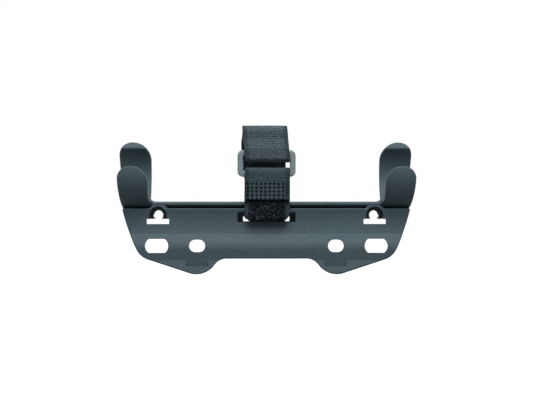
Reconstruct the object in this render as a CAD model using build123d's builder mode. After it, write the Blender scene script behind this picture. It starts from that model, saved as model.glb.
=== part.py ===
"""Bike pump bracket: a moulded two-clip bracket with a hook-and-loop strap.

Frame: X along the pump, Y from the rider towards the bike's frame tube, Z up.
The origin is the middle of the two bottle-cage bolt slots, in the plane of the
front plate's upper face. All sizes are in millimetres, all angles in degrees.
"""
import os
from math import asin, cos, radians, sin, sqrt, tan

from build123d import *

os.makedirs("parts", exist_ok=True)

# ---- bolt slots and tie windows -------------------------------------------------
bolt_spacing = 64.0  # between the two bottle-cage bolt slots
bolt_slot_r = 2.88  # end radius of a bolt slot
bolt_slot_length = 7.4
window_spacing = 101.3  # between the two tie windows
window_end_r = 3.9
window_length = 10.8
window_height = 6.45

# ---- clips -----------------------------------------------------------------------
bracket_length = 137.0  # over the two front fingers
pump_r = 15.0  # bore of the clips
clip_wall = 2.3
clip_y = 8.5  # pump axis
clip_sink = 0.3  # how deep the clip wall sinks into the plate's top
clip_width = 14.0
rear_flare = 1.2  # how far the rear fingers reach beyond the front ones
front_tip_rise = 2.3  # above the pump axis
rear_tip_rise = 14.3
rear_ridge_angle = 49.0  # where the rear finger curls over the pump
rear_lip = 6.0  # length of the lead-in lip before the tip is cut to its outline
rear_lip_angle = 62.0
ridge_r = 1.0
lip_root_r = 1.2
front_corner_in = 7.4  # corner radii of the finger tips
front_corner_out = 5.6
rear_corner_in = 8.6
rear_corner_out = 6.2
clip_root_r = 1.5  # between a finger and the trough
clip_edge_r = 0.6
clip_overlap = 1.6  # clip wall carried into the trough
ledge_overlap = 1.0  # and into the plate

# ---- side edge of the whole bracket -----------------------------------------------
side_r = 78.0
side_top_drop = 0.3  # the side edge is upright this far below the pump axis

# ---- trough between the clips ------------------------------------------------------
trough_relief = 0.4  # keeps the pump on the clips alone
trough_front_angle = 28.0
trough_rear_angle = 20.0
trough_edge_r = 0.8

# ---- plate -----------------------------------------------------------------------
plate_wall = 2.8
ledge_z = 17.3  # top of the plate, under the trough
scoop_depth = 0.8  # hollow of the plate's face between the ledge and the saddle
saddle_top_z = 5.6  # the plate turns out into the saddle here
saddle_upper_angle = 28.0
saddle_upper_z = 2.1
saddle_lower_angle = 5.0
saddle_r = 7.5
flange_z = -6.6  # the lobes' flange starts here
flange_angle = 12.0
lobe_bottom_z = -13.0
bottom_edge_z = -5.85
lobe_x = 32.3
lobe_r = 10.3
lobe_slope = 18.3  # long edge of a lobe
lobe_slant = 54.5  # short edge of a lobe
lobe_root_r = 6.6
corner_r = 9.0
plate_edge_r = 0.6
crease_r = 0.8
ledge_edge_r = 0.4
patch_width = 10.3  # recess under each bolt slot
patch_bottom_z = -9.3
shelf_wall = 3.0  # shelf that joins plate and trough
shelf_depth = 12.0

# ---- bosses with a tie slot --------------------------------------------------------
boss_inset = 4.3  # boss axis, inside the clip's inner edge
boss_drop = 3.15  # below the plate's top
boss_r = 5.4
boss_floor = 2.0
boss_edge_r = 0.4
recess_r = 4.1
recess_depth = 5.6
bore_r = 2.25
tie_slot_width = 10.4
tie_slot_height = 2.35

# ---- strap slot ----------------------------------------------------------------------
pocket_width = 26.9
pocket_height = 4.55
pocket_drop = 1.75  # below the plate's top
pocket_depth = 5.0
strap_slot_width = 21.6
strap_slot_height = 2.2
strap_slot_lift = 0.3  # slot's lower edge above the pocket's
guide_side = 2.0  # walls of the guide behind the pocket

# ---- strap and ring --------------------------------------------------------------------
tape_width = 20.8
tape_t = 1.4
tape_gap = 0.15  # between two layers that are pressed together
ring_width = 26.8
ring_height = 12.4
ring_opening_width = 21.3
ring_opening_height = 6.8
ring_t = 2.0
ring_corner_r = 2.6
ring_opening_r = 0.4
ring_edge_r = 0.8
ring_rise = 3.75  # middle of the ring, above the pump axis
ring_y = -1.7
strap_y = -1.05  # middle of the tape in front of the plate
strap_top_rise = 21.35  # above the pump axis
tab_end_rise = 3.8  # cut end of the welded tab, above the plate's top
weld_height = 5.9  # the tab leaves the tape here, to go round the ring's lower bar
weld_sink = 0.1  # how far the weld presses the two layers together
spread_rise = 2.8  # height over which the two layers part
spread_r = 1.0
bow_y = -2.3  # the tape bows out in front of the pocket
bow_start = 1.4  # above the ledge
bow_drop = 1.5  # below the pocket's upper edge
bow_sag = 1.1  # below the slot's middle
bow_depth = 0.9  # from here on the tape runs straight back through the slot
bow_r = 2.0
bow_turn_r = 1.3
heel_run = 2.2  # straight run behind the guide
heel_rise = 2.2  # turn behind the trough, above the slot's middle
heel_r = 4.0
back_gap = 0.7  # between the tape and the trough's rear edge
belly_out = 1.1  # rear of the loop, behind the heel
belly_share = 0.3  # heights of the loop's bends, as shares of its height above the slot
belly_r = 12.0
shoulder_in = 0.6  # in front of the heel
shoulder_share = 0.6
crown_in = 8.3
crown_share = 0.85
crown_r = 8.0
top_run = 2.35  # level run at the top of the loop
top_r = 1.1
lap_in = 0.3  # the lap lies behind the tape below it
lap_rise = 8.25  # lower end of the pile tape, inside the lap, above the ring's middle
lap_rear_lead = 0.5  # the hook tape closes on the lap from here, below its lower end
lap_rear_taper = 2.5
lap_rear_r = 1.5
lap_front_lead = 1.5
lap_front_taper = 4.5
lap_front_r = 3.0
fold_rise = 1.05  # fold round the ring's upper bar, above the ring's middle
hook_inner_length = 5.0  # inner end of the hook tape, above the lap's lower end
hook_outer_length = 6.0  # outer end, beyond the crown

# ---- values worked out from those above -------------------------------------------------
clip_outer_r = pump_r + clip_wall
clip_z = ledge_z + clip_outer_r - clip_sink  # pump axis
front_edge_x = bracket_length / 2  # outer edge of the front finger
rear_edge_x = front_edge_x + rear_flare
clip_x = front_edge_x - clip_width  # inner edge of a clip
front_tip_z = clip_z + front_tip_rise
rear_tip_z = clip_z + rear_tip_rise
side_top_z = clip_z - side_top_drop
boss_z = ledge_z - boss_drop
pocket_top_z = ledge_z - pocket_drop
pocket_bottom_z = pocket_top_z - pocket_height
ring_z = clip_z + ring_rise
strap_top_z = clip_z + strap_top_rise
tab_end_z = ledge_z + tab_end_rise
weld_top_z = tab_end_z + weld_height
lap_z = ring_z + lap_rise
trough_inner_r = pump_r + trough_relief
side_centre_x = front_edge_x - side_r
base_x = side_centre_x + sqrt(side_r**2 - (side_top_z - ledge_z) ** 2)
floor_z = clip_z - pump_r  # lowest line of the clips' bore
floor_x = side_centre_x + sqrt(side_r**2 - (side_top_z - floor_z) ** 2)
# the rear finger's edge leaves the front one's arc at the floor, without a kink
rear_turn = asin((side_top_z - floor_z) / side_r)
rear_side_r = (rear_edge_x - floor_x) / (1 - cos(rear_turn))
rear_side_top_z = floor_z + rear_side_r * sin(rear_turn)
trough_lip_z = clip_z - trough_inner_r * cos(radians(trough_front_angle))
near = 0.05  # tolerance when edges are picked
spare = 1.0  # cutting shapes run this much past the wall they cut
half_depth = 60.0  # longer than any cut through the bracket
reach = 80.0  # wider than half the bracket


def side_x(z, edge_x=front_edge_x, top_z=side_top_z, r=side_r):
    """Half width of a side edge at height z: an arc that is upright at top_z."""
    return edge_x - r + sqrt(r**2 - (top_z - z) ** 2)


# ---- bracket ------------------------------------------------------------------------------
face_r = (((ledge_z - saddle_top_z) / 2) ** 2 + scoop_depth**2) / (2 * scoop_depth)
saddle_upper_y = -(saddle_top_z - saddle_upper_z) * tan(radians(saddle_upper_angle))
crown_y = saddle_upper_y + saddle_r * cos(radians(saddle_upper_angle))
crown_z = saddle_upper_z - saddle_r * sin(radians(saddle_upper_angle))
saddle_lower_y = crown_y - saddle_r * cos(radians(saddle_lower_angle))
saddle_lower_z = crown_z - saddle_r * sin(radians(saddle_lower_angle))
flange_y = saddle_lower_y + (saddle_lower_z - flange_z) * tan(radians(saddle_lower_angle))
foot_z = lobe_bottom_z - spare
foot_y = flange_y - (flange_z - foot_z) * tan(radians(flange_angle))

with BuildPart() as plate:
    # one wall that bends from the upper face into the saddle and the lobes' flange
    with BuildSketch(Plane.YZ) as plate_section:
        with BuildLine() as plate_line:
            RadiusArc((0, ledge_z), (0, saddle_top_z), face_r)
            Line((0, saddle_top_z), (saddle_upper_y, saddle_upper_z))
            RadiusArc(
                (saddle_upper_y, saddle_upper_z), (saddle_lower_y, saddle_lower_z), -saddle_r
            )
            Polyline((saddle_lower_y, saddle_lower_z), (flange_y, flange_z), (foot_y, foot_z))
            offset(amount=plate_wall, side=Side.LEFT, kind=Kind.INTERSECTION)
        make_face()
        fillet(plate_section.vertices().sort_by_distance((0, saddle_top_z))[0], crease_r)
        fillet(plate_section.vertices().sort_by_distance((flange_y, flange_z))[0], crease_r)
        # shelf under the trough
        with Locations((scoop_depth, ledge_z)):
            Rectangle(shelf_depth - scoop_depth, shelf_wall, align=(Align.MIN, Align.MAX))
    extrude(amount=reach, both=True)

    # outline seen from the front: two lobes below the bolt slots
    lobe_z = lobe_bottom_z + lobe_r
    slope_x = lobe_x + lobe_r * sin(radians(lobe_slope))
    slope_z = lobe_z - lobe_r * cos(radians(lobe_slope))
    slant_x = lobe_x - lobe_r * sin(radians(lobe_slant))
    slant_z = lobe_z - lobe_r * cos(radians(lobe_slant))
    slope = tan(radians(lobe_slope))
    slant = tan(radians(lobe_slant))
    root_x = slant_x - (bottom_edge_z - slant_z) / slant
    corner_z = slope_z + slope * (side_x(bottom_edge_z) - slope_x)
    corner_x = side_x(corner_z)
    root_centre_x = root_x - lobe_root_r * tan(radians(lobe_slant / 2))

    def on_root(turn):
        """Point of the arc into a lobe, at this turn from the straight bottom edge."""
        x = root_centre_x + lobe_root_r * sin(radians(turn))
        return (x, bottom_edge_z - lobe_root_r * (1 - cos(radians(turn))))

    with BuildSketch(Plane.XZ) as outline:
        with BuildLine():
            Polyline((0, ledge_z), (0, bottom_edge_z), on_root(0))
            ThreePointArc(on_root(0), on_root(lobe_slant / 2), on_root(lobe_slant))
            Line(on_root(lobe_slant), (slant_x, slant_z))
            ThreePointArc((slant_x, slant_z), (lobe_x, lobe_bottom_z), (slope_x, slope_z))
            Line((slope_x, slope_z), (corner_x, corner_z))
            ThreePointArc((corner_x, corner_z), (side_x(0), 0), (base_x, ledge_z))
            Line((base_x, ledge_z), (0, ledge_z))
        make_face()
        fillet(outline.vertices().sort_by_distance((corner_x, corner_z))[0], corner_r)
        mirror(about=Plane.YZ)
    extrude(amount=half_depth, both=True, mode=Mode.INTERSECT)

    # rounded front rims: first the ledge's, then the outline's
    ledge_rim = plate.edges().filter_by(Axis.X).sort_by_distance((0, 0, ledge_z))[0]
    fillet(ledge_rim, ledge_edge_r)

    def on_outline(edge):
        box = edge.bounding_box()
        level = box.size.Z < near
        on_face = box.max.Y < scoop_depth + near and box.min.Z > saddle_top_z - crease_r
        below_rim = box.max.Z < ledge_z - ledge_edge_r + near
        in_front = (box.max.Y < near or on_face) and below_rim
        return in_front and (not level or abs(box.min.Z - bottom_edge_z) < near < box.size.X)

    fillet(plate.edges().filter_by(on_outline), plate_edge_r)

# ---- clips: one finger pair, trimmed to its outline, then mirrored --------------------------
ridge = radians(rear_ridge_angle)
lip = radians(rear_lip_angle)
ridge_y = clip_y + pump_r * cos(ridge)
ridge_z = clip_z + pump_r * sin(ridge)
lip_y = ridge_y + rear_lip * cos(lip)
lip_z = ridge_z + rear_lip * sin(lip)
wall_y = clip_wall * sin(lip)
wall_z = -clip_wall * cos(lip)
# the lip's back meets the ring's outside here
along = (ridge_y + wall_y - clip_y) * cos(lip) + (ridge_z + wall_z - clip_z) * sin(lip)
across = (ridge_y + wall_y - clip_y) * sin(lip) - (ridge_z + wall_z - clip_z) * cos(lip)
run = sqrt(clip_outer_r**2 - across**2) - along
root_y = ridge_y + wall_y + run * cos(lip)
root_z = ridge_z + wall_z + run * sin(lip)

# the clip is built in a frame of its own, with X from the front finger's outer edge
clip_in = -clip_width  # inner edge
floor_in = floor_x - front_edge_x


def side_in(z, edge=0.0, top_z=side_top_z, r=side_r):
    """Side edge in the clip's own frame."""
    return side_x(z, edge, top_z, r)


with BuildPart() as clip:
    with BuildSketch(Plane.YZ.offset(clip_in - clip_overlap)) as clip_section:
        # ring wall from the front finger, under the pump, to the rear ridge
        with Locations((clip_y, clip_z)):
            Circle(clip_outer_r)
        with BuildLine():
            Polyline(
                (clip_y - clip_outer_r - spare, clip_z),
                (clip_y, clip_z),
                (clip_y + 2 * pump_r * cos(ridge), clip_z + 2 * pump_r * sin(ridge)),
                (clip_y - clip_outer_r - spare, clip_z + 2 * pump_r),
                close=True,
            )
        make_face(mode=Mode.SUBTRACT)
        # front tip, upright above the pump's middle
        with Locations((clip_y - clip_outer_r, clip_z)):
            Rectangle(clip_wall, 2 * (front_tip_z - clip_z), align=(Align.MIN, Align.MIN))
        # lead-in lip above the rear ridge
        with BuildLine():
            Polyline(
                (ridge_y, ridge_z),
                (lip_y, lip_z),
                (lip_y + wall_y, lip_z + wall_z),
                (ridge_y + wall_y, ridge_z + wall_z),
                close=True,
            )
        make_face()
        with Locations((clip_y, clip_z)):
            Circle(pump_r, mode=Mode.SUBTRACT)
        fillet(clip_section.vertices().sort_by_distance((ridge_y, ridge_z))[0], ridge_r)
        fillet(clip_section.vertices().sort_by_distance((root_y, root_z))[0], lip_root_r)
    extrude(amount=reach)

    # outlines of the front and of the rear finger
    foot = ledge_z - ledge_overlap
    foot_mid = (foot + floor_z) / 2
    front_mid = (floor_z + front_tip_z) / 2
    front_top = (side_in(front_tip_z), front_tip_z)
    rear_mid = (floor_z + rear_tip_z) / 2
    rear_side = (rear_flare, rear_side_top_z, rear_side_r)
    rear_top = (side_in(rear_tip_z, *rear_side), rear_tip_z)
    inner_line = [
        (clip_in, trough_lip_z),
        (clip_in - clip_overlap, trough_lip_z),
        (clip_in - clip_overlap, foot),
        (side_in(foot), foot),
    ]
    with BuildSketch(Plane.XZ.offset(-clip_y)) as front_outline:
        with BuildLine():
            Polyline(front_top, (clip_in, front_tip_z), *inner_line)
            ThreePointArc(
                (side_in(foot), foot), (side_in(foot_mid), foot_mid), (floor_in, floor_z)
            )
            ThreePointArc((floor_in, floor_z), (side_in(front_mid), front_mid), front_top)
        make_face()
        front_inner_tip = front_outline.vertices().sort_by_distance((clip_in, front_tip_z))[0]
        fillet(front_inner_tip, front_corner_in)
        fillet(front_outline.vertices().sort_by_distance(front_top)[0], front_corner_out)
        fillet(front_outline.vertices().sort_by_distance((clip_in, trough_lip_z))[0], clip_root_r)
    with BuildSketch(Plane.XZ.offset(-clip_y)) as rear_outline:
        with BuildLine():
            Polyline(rear_top, (clip_in, rear_tip_z), *inner_line)
            ThreePointArc(
                (side_in(foot), foot), (side_in(foot_mid), foot_mid), (floor_in, floor_z)
            )
            ThreePointArc(
                (floor_in, floor_z), (side_in(rear_mid, *rear_side), rear_mid), rear_top
            )
        make_face()
        fillet(rear_outline.vertices().sort_by_distance((clip_in, rear_tip_z))[0], rear_corner_in)
        fillet(rear_outline.vertices().sort_by_distance(rear_top)[0], rear_corner_out)
        fillet(rear_outline.vertices().sort_by_distance((clip_in, trough_lip_z))[0], clip_root_r)
    front_finger = extrude(front_outline.sketch, amount=half_depth, mode=Mode.PRIVATE)
    rear_finger = extrude(rear_outline.sketch, amount=-half_depth, mode=Mode.PRIVATE)
    add(front_finger + rear_finger, mode=Mode.INTERSECT)

    # rounded rims: every curved edge of the wall and the short straight ones at the tips
    def on_rim(edge):
        box = edge.bounding_box()
        curved = edge.geom_type != GeomType.LINE
        tip = box.size.X > near and box.size.X < front_corner_in and box.size.Y < near
        at_seam = box.size.Y < near and abs(box.min.Y - clip_y) < near
        outside = box.min.X > clip_in - clip_overlap + near and box.max.Z > floor_z + near
        return (curved or tip) and outside and not at_seam

    fillet(clip.edges().filter_by(on_rim), clip_edge_r)

# ---- bracket: plate, trough, clips, bosses and openings -------------------------------------
guide_width = pocket_width + 2 * guide_side
guide_depth = pocket_depth + boss_floor
slot_bottom_z = pocket_bottom_z + strap_slot_lift
boss_x = clip_x - boss_inset
tie_bottom_z = boss_z - recess_r
tie_top_z = tie_bottom_z + tie_slot_height

with BuildPart() as boss:
    with BuildSketch(Plane.XZ):
        Circle(boss_r)
    extrude(amount=-(recess_depth + boss_floor - scoop_depth))
    fillet(boss.edges().sort_by(Axis.Y)[0], boss_edge_r)

with BuildPart() as bracket:
    add(plate.part)

    # trough between the clips
    with BuildSketch(Plane.YZ) as trough_section:
        with BuildLine():
            PolarLine((clip_y, clip_z), clip_outer_r, -90 - trough_front_angle)
            CenterArc(
                (clip_y, clip_z),
                clip_outer_r,
                -90 - trough_front_angle,
                trough_front_angle + trough_rear_angle,
            )
            PolarLine((clip_y, clip_z), clip_outer_r, -90 + trough_rear_angle)
        make_face()
        with Locations((clip_y, clip_z)):
            Circle(trough_inner_r, mode=Mode.SUBTRACT)
        fillet(trough_section.vertices(), trough_edge_r)
    extrude(amount=clip_x, both=True)

    # clips
    right_clip = Pos(front_edge_x, 0, 0) * clip.part
    add(right_clip)
    add(mirror(right_clip, about=Plane.YZ, mode=Mode.PRIVATE))

    # bosses, whose rounded front rims show under the trough
    with Locations((-boss_x, scoop_depth, boss_z), (boss_x, scoop_depth, boss_z)):
        add(boss.part)

    # guide behind the strap's pocket
    with BuildSketch(Plane.XZ.offset(-scoop_depth)):
        with Locations((0, pocket_bottom_z - guide_side)):
            Rectangle(
                guide_width, ledge_z - pocket_bottom_z, align=(Align.CENTER, Align.MIN)
            )
    extrude(amount=-(guide_depth - scoop_depth))

    # the bosses' undersides are open below the tie slots
    with BuildSketch(Plane.XZ.offset(-plate_wall)):
        with Locations((-boss_x, tie_top_z), (boss_x, tie_top_z)):
            Rectangle(2 * boss_r + spare, boss_r + recess_r, align=(Align.CENTER, Align.MAX))
    extrude(amount=-half_depth, mode=Mode.SUBTRACT)

    # recesses, bores and tie slots; the bores run through the shelf too
    with BuildSketch(Plane.XZ):
        with Locations((-boss_x, boss_z), (boss_x, boss_z)):
            Circle(recess_r)
    extrude(amount=-recess_depth, mode=Mode.SUBTRACT)
    with BuildSketch(Plane.XZ):
        with Locations((-boss_x, boss_z), (boss_x, boss_z)):
            Circle(bore_r)
    extrude(amount=-half_depth, mode=Mode.SUBTRACT)
    with BuildSketch(Plane.XZ):
        with Locations((-boss_x, tie_bottom_z), (boss_x, tie_bottom_z)):
            Rectangle(tie_slot_width, tie_slot_height, align=(Align.CENTER, Align.MIN))
    extrude(amount=-(recess_depth + boss_floor), mode=Mode.SUBTRACT)

    # pocket with the strap's slot in its floor
    with BuildSketch(Plane.XZ):
        with Locations((0, pocket_bottom_z)):
            Rectangle(
                pocket_width, pocket_top_z - pocket_bottom_z, align=(Align.CENTER, Align.MIN)
            )
    extrude(amount=-pocket_depth, mode=Mode.SUBTRACT)
    with BuildSketch(Plane.XZ):
        with Locations((0, slot_bottom_z)):
            Rectangle(strap_slot_width, strap_slot_height, align=(Align.CENTER, Align.MIN))
    extrude(amount=-half_depth, mode=Mode.SUBTRACT)

    # bolt slots and tie windows
    with BuildSketch(Plane.XZ):
        with Locations((-bolt_spacing / 2, 0), (bolt_spacing / 2, 0)):
            SlotOverall(bolt_slot_length, 2 * bolt_slot_r)
    extrude(amount=half_depth, both=True, mode=Mode.SUBTRACT)
    with BuildSketch(Plane.XZ):
        with Locations((-window_spacing / 2, 0), (window_spacing / 2, 0)):
            SlotOverall(window_length, 2 * window_end_r)
        Rectangle(window_spacing + window_length, window_height, mode=Mode.INTERSECT)
    extrude(amount=half_depth, both=True, mode=Mode.SUBTRACT)

    # recess under each bolt slot, in line with the saddle's lower face
    patch_y = flange_y + (flange_z - patch_bottom_z) * tan(radians(saddle_lower_angle))
    with BuildSketch(Plane.YZ):
        with BuildLine():
            Polyline(
                (flange_y, flange_z),
                (patch_y, patch_bottom_z),
                (-half_depth, patch_bottom_z),
                (-half_depth, flange_z),
                close=True,
            )
        make_face()
    patch = extrude(amount=patch_width / 2, both=True, mode=Mode.PRIVATE)
    add(Pos(-bolt_spacing / 2, 0, 0) * patch, mode=Mode.SUBTRACT)
    add(Pos(bolt_spacing / 2, 0, 0) * patch, mode=Mode.SUBTRACT)
bracket.part.label = "bracket"
export_step(bracket.part, "parts/bracket.step")

# ---- ring that closes the strap ---------------------------------------------------------------
ring_bar = (ring_height - ring_opening_height) / 2
with BuildPart() as ring:
    with BuildSketch(Plane.XZ.offset(-ring_y)):
        with Locations((0, ring_z)):
            RectangleRounded(ring_width, ring_height, ring_corner_r)
            RectangleRounded(
                ring_opening_width, ring_opening_height, ring_opening_r, mode=Mode.SUBTRACT
            )
    extrude(amount=ring_t / 2, both=True)
    fillet(ring.edges().group_by(Axis.Y)[0] + ring.edges().group_by(Axis.Y)[-1], ring_edge_r)
ring.part.label = "ring"
export_step(ring.part, "parts/ring.step")

# ---- strap: the pile tape forms the loop, the hook tape closes it -------------------------------
slot_mid_z = slot_bottom_z + strap_slot_height / 2
layer = tape_t + tape_gap
inner_y = ring_y + (ring_t + tape_t) / 2 + tape_gap
outer_y = ring_y - (ring_t + tape_t) / 2 - tape_gap
wrap_z = ring_z - ring_opening_height / 2 + tape_gap + tape_t / 2
wrap_r = ring_edge_r + (tape_gap + tape_t) / 2
fold_z = ring_z + fold_rise
tab_y = strap_y - tape_t + weld_sink
spread_z = weld_top_z + spread_rise
lap_y = strap_y + lap_in
top_z = strap_top_z - tape_t / 2  # middle of the hook tape at the top
loop_top_z = top_z - layer  # middle of the pile tape at the top
loop_height = loop_top_z - slot_mid_z
heel_y = clip_y + clip_outer_r * sin(radians(trough_rear_angle)) + back_gap + tape_t / 2
belly = (heel_y + belly_out, slot_mid_z + belly_share * loop_height)
shoulder = (heel_y - shoulder_in, slot_mid_z + shoulder_share * loop_height)
crown = (heel_y - crown_in, slot_mid_z + crown_share * loop_height)
top_rear = (lap_y + top_run, loop_top_z)
top_front = (lap_y, loop_top_z)


def outside(before, corner, after, distance=layer):
    """Corner of the line that runs a distance outside a line bent at this corner."""
    into = (Vector(*corner) - Vector(*before)).normalized()
    onward = (Vector(*after) - Vector(*corner)).normalized()
    out = Vector(into.Y + onward.Y, -into.X - onward.X)
    moved = Vector(*corner) + out * (distance / (1 + into.dot(onward)))
    return (moved.X, moved.Y)


with BuildPart() as pile_tape:
    with BuildSketch(Plane.YZ):
        # the welded tab, up to the middle of the ring's lower bar
        with BuildLine():
            FilletPolyline(
                (tab_y, tab_end_z),
                (tab_y, weld_top_z),
                (outer_y, spread_z),
                (outer_y, wrap_z),
                (ring_y, wrap_z),
                radius=(spread_r, spread_r, wrap_r),
            )
        trace(line_width=tape_t)
        # from there down, through the slot, up behind the trough and over to the lap
        with BuildLine():
            FilletPolyline(
                (ring_y, wrap_z),
                (inner_y, wrap_z),
                (inner_y, spread_z),
                (strap_y, weld_top_z),
                (strap_y, ledge_z + bow_start),
                (bow_y, pocket_top_z - bow_drop),
                (bow_y, slot_mid_z - bow_sag),
                (bow_depth, slot_mid_z),
                (guide_depth + heel_run, slot_mid_z),
                (heel_y, slot_mid_z + heel_rise),
                belly,
                shoulder,
                crown,
                top_rear,
                top_front,
                (lap_y, lap_z),
                radius=(wrap_r, spread_r, spread_r, bow_r, bow_r, bow_turn_r, bow_r)
                + (heel_r, heel_r, belly_r, belly_r, crown_r, top_r, top_r),
            )
        trace(line_width=tape_t)
    extrude(amount=tape_width / 2, both=True)
pile_tape.part.label = "pile_tape"
export_step(pile_tape.part, "parts/pile_tape.step")

crown_outside = outside(shoulder, crown, top_rear)
down = (Vector(*shoulder) - Vector(*crown)).normalized() * hook_outer_length
with BuildPart() as hook_tape:
    with BuildSketch(Plane.YZ):
        # from inside the lap round the ring's upper bar, up in front and over the crown
        with BuildLine():
            FilletPolyline(
                (lap_y + layer, lap_z + hook_inner_length),
                (lap_y + layer, lap_z - lap_rear_lead),
                (inner_y, lap_z - lap_rear_lead - lap_rear_taper),
                (inner_y, fold_z),
                (outer_y, fold_z),
                (outer_y, lap_z - lap_front_lead),
                (lap_y - layer, lap_z - lap_front_lead + lap_front_taper),
                outside(top_rear, top_front, (lap_y, lap_z)),
                outside(crown, top_rear, top_front),
                crown_outside,
                (crown_outside[0] + down.X, crown_outside[1] + down.Y),
                radius=(lap_rear_r, lap_rear_r, wrap_r, wrap_r, lap_front_r, lap_front_r)
                + (top_r + layer, top_r + layer, crown_r + layer),
            )
        trace(line_width=tape_t)
    extrude(amount=tape_width / 2, both=True)
hook_tape.part.label = "hook_tape"
export_step(hook_tape.part, "parts/hook_tape.step")
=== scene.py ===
"""Bike pump bracket: finishes, woven strap, light and camera round the CAD frame.

The moulded bracket and the ring keep their CAD meshes and get better materials.
The two tapes of the strap are made new, as woven surfaces along the lines of
their CAD solids. They are worked out in millimetres, in the frame of the CAD
part: X along the pump, Y away from the rider, Z up.
"""

import bpy
import numpy as np
from bpy.props import FloatProperty, IntProperty, PointerProperty, StringProperty
from bpy.types import Operator, Panel, PropertyGroup
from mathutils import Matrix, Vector


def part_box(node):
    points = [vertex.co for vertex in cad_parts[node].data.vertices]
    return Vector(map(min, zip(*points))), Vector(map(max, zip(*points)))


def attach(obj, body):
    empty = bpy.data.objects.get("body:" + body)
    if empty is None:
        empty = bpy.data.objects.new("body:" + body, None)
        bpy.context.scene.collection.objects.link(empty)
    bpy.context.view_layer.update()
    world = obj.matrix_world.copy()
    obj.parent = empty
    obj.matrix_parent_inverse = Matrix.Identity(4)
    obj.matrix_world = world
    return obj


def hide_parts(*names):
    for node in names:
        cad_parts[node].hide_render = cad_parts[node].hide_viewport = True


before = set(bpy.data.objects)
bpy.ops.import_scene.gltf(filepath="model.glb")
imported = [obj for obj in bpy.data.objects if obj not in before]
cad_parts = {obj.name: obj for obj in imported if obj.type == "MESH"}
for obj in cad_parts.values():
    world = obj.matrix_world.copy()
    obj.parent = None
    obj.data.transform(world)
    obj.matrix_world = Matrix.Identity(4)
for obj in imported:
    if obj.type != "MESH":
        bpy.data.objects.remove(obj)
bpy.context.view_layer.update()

bl_info = {
    "name": "Bike pump bracket",
    "version": (1, 0, 0),
    "blender": (4, 5, 0),
    "location": "3D View > Sidebar > Bracket",
    "description": "Finishes a moulded pump bracket and weaves its strap",
    "category": "Object",
}

MM = 0.001
RIB_SLANT = 0.75  # how far a woven rib moves across for each millimetre along
FLAT_FACE = 0.9  # beyond this share of half the thickness a point lies on a flat face
ARC_POINTS = 25  # points on each rounded corner of a strap's line
NOISE_SPAN = {"From Min": 0.3, "From Max": 0.7}  # nearly all of a noise lies in here
FLOW_PATCHES = 45.0  # to a metre, each about 22 mm wide
WAX_PATCHES = 160.0  # to a metre, each about 6 mm wide
SHINE = "#8EA0AC"  # nylon yarn shines a little blue
MELTED = "#020303"  # welds and hot-cut ends
PAPER = "#666666"  # grey under the paper's glow, so that little light comes back up

# ---- the strap's line, in millimetres ---------------------------------------------------
# It is the CAD part's line, apart from the welded tab, whose two layers lean out together.
ring_low, ring_high = (np.array(corner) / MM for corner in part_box("ring"))
pile_low, pile_high = (np.array(corner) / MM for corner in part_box("pile_tape"))
_, hook_high = (np.array(corner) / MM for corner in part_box("hook_tape"))
RING_Y, RING_Z = (ring_low[1:] + ring_high[1:]) / 2
RING_T = ring_high[1] - ring_low[1]
TAPE_WIDTH = pile_high[0] - pile_low[0]
TAPE_T = 1.4
TAPE_GAP = 0.15  # between two layers that are pressed together
LAYER = TAPE_T + TAPE_GAP
WELD_SINK = 0.1  # how far the weld presses the two layers together
STRAP_Y = -1.05  # middle of the tape in front of the plate
TAB_Y = STRAP_Y - TAPE_T + WELD_SINK  # middle of the tab that is welded on it
INNER_Y = RING_Y + (RING_T + TAPE_T) / 2 + TAPE_GAP  # the tape behind the ring
OUTER_Y = RING_Y - (RING_T + TAPE_T) / 2 - TAPE_GAP  # and in front of it
TAB_END_Z = 21.1  # cut end of the tab
TAB_LEAN_Z = 22.6  # both layers lean out from here
WELD_TOP_Z = 28.9  # they lie on each other up to here
SPREAD_Z = 29.8  # the tab has reached the ring's front
PART_Z = 31.4  # the layer under it has reached the ring's back
WELD_TOP_Y = STRAP_Y + (OUTER_Y - TAB_Y) * (WELD_TOP_Z - TAB_LEAN_Z) / (
    SPREAD_Z - TAB_LEAN_Z
)
WRAP_Z = RING_Z - 2.55  # fold round the ring's lower bar
WRAP_R = 1.575
FOLD_Z = RING_Z + 1.05  # fold round its upper bar
SLOT_Z = 12.4  # middle of the slot behind the plate's pocket
BOW_Y = -2.3  # the tape bows out in front of the pocket
LEDGE_Z = 17.3  # top of the plate, under the trough
BOW_START_Z = LEDGE_Z + 1.4
BOW_HIGH_Z = SLOT_Z + 1.65
BOW_LOW_Z = SLOT_Z - 1.1
SLOT_FRONT_Y = 0.9  # it runs straight back through the slot from here
SLOT_REAR_Y = 9.2
HEEL_Y = 15.82  # and turns up here, behind the trough
HEEL_Z = SLOT_Z + 2.2
LAP_Y = -0.75  # the lap lies a little behind the tape below it
LAP_Z = 46.3  # lower end of the pile tape, inside the lap
TOP_Z = hook_high[2] - TAPE_T / 2  # middle of the hook tape at the top
LOOP_TOP_Z = TOP_Z - LAYER  # middle of the pile tape at the top
CROWN_R = 8.0
TOP_R = 1.1
HOOK_RUN = 6.0  # the hook tape's outer end lies this far beyond the crown

# How the tape lies to the side: heights, and millimetres to the right at each of them
LEAN_FRONT = ((12, 20, 40, 46, 55), (0.2, 0.35, 0.35, -0.1, -0.85))
LEAN_REAR = ((12, 31, 36.5, 48, 55), (0.1, 0.3, -1.0, -1.3, -0.85))
LEAN_DEPTH = (1.5, 9.0)  # the first changes into the second over this depth

# The slot gathers the tape: share of its width that it loses, and where that fades out
GATHER = 0.2
GATHER_Z = (SLOT_Z - 1.0, SLOT_Z + 2.0)
GATHER_Y = (8.0, 13.0)


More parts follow.
